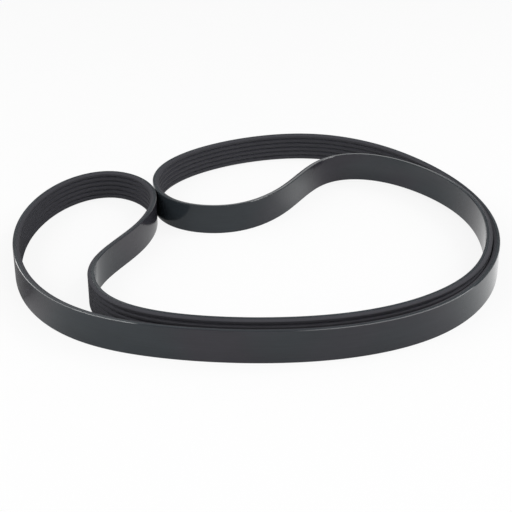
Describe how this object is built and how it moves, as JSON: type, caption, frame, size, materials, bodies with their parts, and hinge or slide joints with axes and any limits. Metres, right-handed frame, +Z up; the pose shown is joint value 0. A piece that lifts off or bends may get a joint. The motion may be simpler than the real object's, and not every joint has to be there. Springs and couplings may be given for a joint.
{
  "type": "alternator belt",
  "caption": "Endless ribbed drive belt of black rubber, standing on its cut edge with its loop folded into itself, ribs on the inside and a smooth back outside.",
  "frame": {"origin": "on the resting surface, under the middle of the folded loop's box", "axes": "+Z up across the belt's width, from the edge it stands on to its upper edge; -Y toward the long smooth outer run; +X toward the end where the folded-in run lies against the outer run"},
  "size_m": [0.3294, 0.329, 0.0254],
  "materials": {
    "belt_rubber": "satin black rubber with a smooth back and matte ribs"
  },
  "bodies": {
    "root": {"ribbed_belt": "belt_rubber"}
  },
  "joints": []
}
